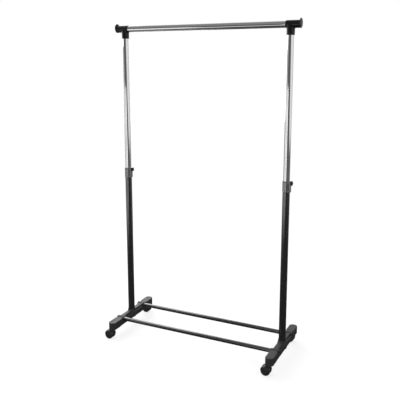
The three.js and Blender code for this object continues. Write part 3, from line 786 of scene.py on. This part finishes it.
# one for each material slot, and one for the rail, whose draw lines run along X
FINISH = {
    "powder_coat": powder_coat(),
    "chrome_tube": chrome("chrome_upright", "z"),
    "chrome_rail": chrome("chrome_rail", "x"),
    # The pale edge colours of the foot and the tee are partly wear and partly a painted highlight on the
    # edges.
    "foot_plastic": textured_plastic(
        "foot_black", dark=(0.020, 0.020, 0.021), light=(0.031, 0.031, 0.032), edge_wear_and_highlight=(0.11, 0.11, 0.114),
        rough=0.46, grain=1500, depth=0.00016, ior=1.38),
    "tee_plastic": textured_plastic(
        "tee_black", dark=(0.004, 0.004, 0.0043), light=(0.007, 0.007, 0.0074), edge_wear_and_highlight=(0.05, 0.05, 0.052),
        rough=0.22, grain=1700, depth=0.00004, ior=1.38),
    "collar_plastic": collar_finish(),
    "knob_plastic": glossy_plastic("knob_black", (0.004, 0.004, 0.004), rough=0.24, scuffs=0.2, ior=1.36),
    "castor_plastic": glossy_plastic(
        "castor_black", (0.014, 0.014, 0.0145), rough=0.30, scuffs=0.5, ior=1.5),
    "wheel_plastic": wheel_finish(),
    "natural_nylon": nylon_finish(),
    "fastener_steel": steel_finish(),
}


# ------------------------------------------------------------------ pieces

WALL = {"painted_tube": 1.0, "chromed_tube": 1.2, "upright_insert": 10.2, "rod_insert": 4.9}


def put(name, mesh, node, slot, finish=None, at=(0, 0, 0), turn=0.0):
    """Puts a mesh in the place of one CAD node, on that node's body. at is where its own zero goes."""
    piece = link(name, mesh)
    mesh.materials.clear()
    mesh.materials.append(FINISH[finish or slot])
    piece.matrix_world = Matrix.Translation(Vector(at) * MM) @ Matrix.Rotation(turn, 4, "Z")
    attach(piece, body_of(node))
    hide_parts(node)
    return piece


def put_turned(name, mesh, node, slot, finish=None, at=(0, 0, 0)):
    """A turned piece, with its flats kept flat in the shading."""
    put(name, mesh, node, slot, finish, at).modifiers.new("flat_faces", "WEIGHTED_NORMAL")


def build_feet():
    bar = moulded("foot_bar_mesh", foot_field, (-22, -188, 45), (22, 188, 89), cell=0.7, keep=0.12,
                  blur=1)
    bolt = moulded("upright_bolt_mesh", bolt_field, (-8, -8, 46), (8, 8, 60), cell=0.25, keep=0.15,
                   blur=1)
    screw = moulded("rod_screw_mesh", rod_screw_field, (-16, -6, -6), (11, 6, 6), cell=0.25, keep=0.2,
                    blur=1)
    for side in SIDES:
        x, turn = UPRIGHT_X[side], TURN[side]
        put(f"{side}_foot_moulding", bar, f"{side}_foot_bar", "foot_plastic", at=(x, 0, 0), turn=turn)
        put(f"{side}_base_bolt", bolt, f"{side}_upright_bolt", "fastener_steel", at=(x, 0, 0), turn=turn)
        insert = pipe(f"{side}_tube_plug", f"{side}_upright_insert", "z", WALL["upright_insert"])
        put_turned(f"{side}_tube_plug", insert, f"{side}_upright_insert", "natural_nylon")
        for end in ENDS:
            put(f"{side}_{end}_pan_screw", screw, f"{side}_{end}_rod_screw", "fastener_steel",
                at=(x, WAY[end] * ROD_Y, ROD_Z), turn=turn)
            plug = pipe(f"{side}_{end}_rod_plug", f"{side}_{end}_rod_insert", "x", WALL["rod_insert"])
            put_turned(f"{side}_{end}_rod_plug", plug, f"{side}_{end}_rod_insert", "natural_nylon")
    for end in ENDS:
        tube = pipe(f"{end}_rod_tube", f"{end}_base_rod", "x", WALL["painted_tube"])
        put_turned(f"{end}_rod_tube", tube, f"{end}_base_rod", "powder_coat")


def lock_screw(name, node):
    """The screw behind a knob, with a narrower point towards the chromed tube."""
    low, high = span(node)
    point, radius, taper = 1.6, 3, 1.4
    profile = [
        (0, low[0]), (point, low[0]), (radius, low[0] + taper), (radius, high[0]), (0, high[0]),
    ]
    return turned(name, profile, "x", (0, 0, SCREW_Z), edge=0.3)


def guide_bush(name, node):
    """The bush on a chromed tube's lower end: a wide head below the tube and a sleeve inside it."""
    low, high = span(node)
    bottom, top = low[2], high[2]
    bore, sleeve, head, shoulder = 10.5, 12.8, (high[0] - low[0]) / 2, bottom + 8
    profile = [
        (bore, bottom), (head, bottom), (head, shoulder), (sleeve, shoulder), (sleeve, top), (bore, top),
    ]
    return turned(name, profile, "z", (middle(node)[0], 0, 0), closed=True)


def build_uprights():
    collar = moulded("height_collar_mesh", collar_field, (-19, -19, 769), (21, 19, 819), cell=0.42,
                     keep=0.13)
    for side in SIDES:
        x = UPRIGHT_X[side]
        lower = pipe(f"{side}_lower_tube", f"{side}_lower_upright", "z", WALL["painted_tube"])
        put_turned(f"{side}_lower_tube", lower, f"{side}_lower_upright", "powder_coat")
        upper = pipe(f"{side}_upper_tube", f"{side}_upper_upright", "z", WALL["chromed_tube"])
        put_turned(f"{side}_upper_tube", upper, f"{side}_upper_upright", "chrome_tube")
        put(f"{side}_collar_moulding", collar, f"{side}_height_collar", "collar_plastic", at=(x, 0, 0))
        grip = knob(f"{side}_knob_moulding", KNOB_TURN[side])
        put_turned(f"{side}_knob_moulding", grip, f"{side}_lock_knob", "knob_plastic", at=(x, 0, SCREW_Z))
        shank = lock_screw(f"{side}_screw_shank", f"{side}_lock_screw")
        put_turned(f"{side}_screw_shank", shank, f"{side}_lock_screw", "fastener_steel")
        bush = guide_bush(f"{side}_bush_sleeve", f"{side}_guide_bush")
        put_turned(f"{side}_bush_sleeve", bush, f"{side}_guide_bush", "natural_nylon")


def build_rail():
    tube = pipe("rail_tube", "hanging_rail", "x", WALL["chromed_tube"])
    put_turned("rail_tube", tube, "hanging_rail", "chrome_tube", finish="chrome_rail")
    tee = moulded("tee_joint_mesh", tee_field, (-47, -21, -45), (33, 21, 25), cell=0.6, keep=0.14)
    for side in SIDES:
        at = (UPRIGHT_X[side], 0, RAIL_Z)
        put(f"{side}_tee_moulding", tee, f"{side}_tee_joint", "tee_plastic", at=at, turn=TURN[side])


def build_castors():
    shell = moulded("castor_housing_mesh", housing_field, (-38, -20, 8), (12, 20, 45), cell=0.45,
                    keep=0.14)
    radius, half = AXLE_PIN["radius"], AXLE_PIN["half"]
    axle = [(0, -half), (radius, -half), (radius, half), (0, half)]
    for end in ENDS:
        for side in SIDES:
            castor = f"{end}_{side}_castor"
            at = (UPRIGHT_X[side], WAY[end] * CASTOR_Y, 0)
            put(f"{castor}_shell", shell, f"{castor}_housing", "castor_plastic", at=at)
            pin = turned(f"{castor}_pin", STEM, "z", sides=32, edge=0.3)
            put_turned(f"{castor}_pin", pin, f"{castor}_stem", "fastener_steel", at=at)
            bush = turned(f"{castor}_socket", SLEEVE, "z", sides=48, edge=0.3, closed=True)
            put_turned(f"{castor}_socket", bush, f"{castor}_sleeve", "castor_plastic", at=at)
            spindle = turned(f"{castor}_spindle", axle, "y", AXLE, sides=32)
            put_turned(f"{castor}_spindle", spindle, f"{castor}_axle", "fastener_steel", at=at)
            for face in ENDS:
                disc = wheel(f"{castor}_{face}_disc", WAY[face], AXLE)
                put_turned(f"{castor}_{face}_disc", disc, f"{castor}_{face}_wheel", "wheel_plastic", at=at)


# ------------------------------------------------------------------ camera and light

CAMERA = {"at": (1.137, -2.383, 1.306), "heading": 25.75, "tilt": -10.7, "lens": 52.7, "shift": -0.06}
AWAY = Vector((-math.sin(math.radians(CAMERA["heading"])), math.cos(math.radians(CAMERA["heading"])), 0))
RIGHT = Vector((AWAY.y, -AWAY.x, 0))

# name: place, aim, width, height and brightness, where 1 is the white of the background
SOFTBOXES = {
    "front": ((-0.15, -2.85, 0.57), (0, 0, 0.57), 0.76, 1.06, 1.9),
    "front_left": ((-2.15, -2.17, 0.57), (0, 0, 0.57), 1.86, 1.06, 0.75),
    "left": ((-1.2, 0.1, 1.7), (0, 0, 0.1), 1.1, 0.9, 3.4),
    "back_left": ((-1.35, 1.5, 1.35), (0, 0, 0.2), 1.4, 1.2, 3.2),
}


def camera():
    data = bpy.data.cameras.new("view")
    data.sensor_width = 36
    data.lens = CAMERA["lens"]
    data.shift_y = CAMERA["shift"]
    seen = bpy.data.objects.new("view", data)
    seen.location = CAMERA["at"]
    seen.rotation_euler = (math.radians(90 + CAMERA["tilt"]), 0, math.radians(CAMERA["heading"]))
    bpy.context.scene.collection.objects.link(seen)
    bpy.context.scene.camera = seen


def softbox(name, at, aim, width, height, brightness):
    data = bpy.data.lights.new(name, "AREA")
    data.shape = "RECTANGLE"
    data.size, data.size_y = width, height
    data.energy = brightness * math.pi * width * height
    lamp = bpy.data.objects.new(name, data)
    lamp.location = at
    lamp.rotation_euler = (Vector(aim) - Vector(at)).to_track_quat("-Z", "Y").to_euler()
    lamp.visible_camera = False
    bpy.context.scene.collection.objects.link(lamp)


def world():
    """White to the camera, and soft light from above. Reflections see a studio instead, which gives
    the chrome its bands: a white backdrop, a pale right side, a grey left side and a dim room."""
    made = bpy.data.worlds.new("studio")
    bpy.context.scene.world = made
    made.use_nodes = True
    tree = made.node_tree
    tree.nodes.clear()

    def node(kind, settings=None, *inputs):
        new = tree.nodes.new(kind)
        for key, value in (settings or {}).items():
            setattr(new, key, value)
        for socket, value in zip(new.inputs, inputs):
            if isinstance(value, bpy.types.NodeSocket):
                tree.links.new(value, socket)
            elif value is not None:
                socket.default_value = value
        return new

    def math_of(operation, *inputs):
        return node("ShaderNodeMath", {"operation": operation}, *inputs).outputs["Value"]

    def both(a, b):
        return math_of("MULTIPLY", a, b)

    def either(a, b):
        return math_of("MAXIMUM", a, b)

    def step(value, low, high, to_low, to_high):
        settings = {"interpolation_type": "SMOOTHSTEP"}
        return node("ShaderNodeMapRange", settings, value, low, high, to_low, to_high).outputs["Result"]

    def facing(way):
        return node("ShaderNodeVectorMath", {"operation": "DOT_PRODUCT"}, direction, way).outputs["Value"]

    direction = node("ShaderNodeTexCoord").outputs["Generated"]
    height = node("ShaderNodeSeparateXYZ", None, direction).outputs["Z"]

    # The backdrop has a dark gap low in its middle. The edges of the tubes reflect it, and so they
    # stand out against the white background.
    beside = math_of("ABSOLUTE", facing(RIGHT))
    around_gap = either(step(beside, 0.38, 0.56, 0.1, 0.5), step(height, 0.05, 0.2, 0, 1))
    backdrop = both(step(facing(AWAY), 0.15, 0.55, 0, 1), around_gap)

    # The right side starts above a sloping foot, and is greyer towards the backdrop.
    slope = math_of("ADD", math_of("MULTIPLY", facing(RIGHT), -0.42), 0.156)
    above_foot = math_of("SUBTRACT", height, either(slope, -0.135))
    right_side = both(step(above_foot, -0.03, 0.03, 0, 0.85), step(facing(AWAY), 0.25, 0.5, 1, 0.55))
    left_side = step(facing(-RIGHT), 0.80, 0.97, 0, 0.5)
    sides = both(either(right_side, left_side), step(height, 0.3, 0.6, 1, 0))

    ceiling = step(height, 0.1, 0.5, 0.12, 0.25)
    room = either(either(backdrop, sides), ceiling)
    soft_top = step(height, -0.4, 1.0, 0.3, 1.15)
    rays = node("ShaderNodeLightPath")
    lit = node("ShaderNodeMix", None, rays.outputs["Is Glossy Ray"], None, soft_top, room)
    seen = node("ShaderNodeMix", None, rays.outputs["Is Camera Ray"], None, lit.outputs["Result"], 1.0)
    light = node("ShaderNodeBackground", None, (1, 1, 1, 1), seen.outputs["Result"])
    node("ShaderNodeOutputWorld", None, light.outputs["Background"])


def floor():
    """A white floor that keeps a soft shadow round the castors and fades into the background.
    Reflections see it dark, but grey behind the object to both sides, and white far out at the front
    left."""
    radius, sides = 3.4, 96
    angles = [2 * math.pi * k / sides for k in range(sides)]
    ring = [(radius * math.cos(angle), radius * math.sin(angle), 0) for angle in angles]
    mesh = mesh_from("floor", ring, [range(sides)])
    finish = Finish("floor_white", Roughness=0.7, Specular_IOR_Level=0.1)
    rays = finish.node("ShaderNodeLightPath")
    to_camera, glossy = rays.outputs["Is Camera Ray"], rays.outputs["Is Glossy Ray"]
    cloud = finish.noise(1.5, 3)
    tone = finish.mixed(cloud, (0.38, 0.38, 0.38), (0.42, 0.42, 0.42))
    seen = finish.mixed(cloud, (0.96, 0.96, 0.96), (0.98, 0.98, 0.98))
    finish.set(Base_Color=finish.mixed(to_camera, tone, seen))

    glow = finish.node("ShaderNodeEmission", Strength=1.0)
    far = finish.node("ShaderNodeVectorMath", {"operation": "LENGTH"}, i0=finish.place)
    share = finish.math("MAXIMUM", finish.math("MULTIPLY", to_camera, 0.75),
                        finish.ranged(far.outputs["Value"], 0.9, 2.2))
    faded = finish.node("ShaderNodeMixShader", i0=share, i1=finish.shader.outputs[0], i2=glow.outputs[0])

    # For reflections the floor glows rather than being lit: a painted reflection, dark near the object,
    # grey behind it and white far out at the front left.
    behind, beside = finish.dot(finish.place, AWAY), finish.dot(finish.place, RIGHT)
    spread = finish.math("SUBTRACT", finish.math("ABSOLUTE", beside), finish.math("MULTIPLY", behind, 0.5))
    rear = finish.math("MULTIPLY", finish.ranged(behind, 0.0, 0.6, 0.06, 1.0),
                       finish.ranged(spread, 0.0, 0.4, 0.1, 0.5))
    front_left = finish.ranged(finish.dot(finish.place, (-0.62, -0.78, 0)), 1.8, 2.1, 0.06, 1.0)
    painted_reflection = finish.node("ShaderNodeEmission", Strength=finish.math("MAXIMUM", rear, front_left))
    surface = finish.node("ShaderNodeMixShader", i0=glossy, i1=faded.outputs[0], i2=painted_reflection.outputs[0])
    output = finish.tree.nodes["Material Output"]
    finish.tree.links.new(surface.outputs[0], output.inputs["Surface"])
    mesh.materials.append(finish.material)
    link("floor", mesh)


# ------------------------------------------------------------------ the scene

camera()
world()
floor()
for box_name, box in SOFTBOXES.items():
    softbox(box_name, *box)
build_feet()
build_uprights()
build_rail()
build_castors()

bpy.context.scene.view_settings.view_transform = "Standard"
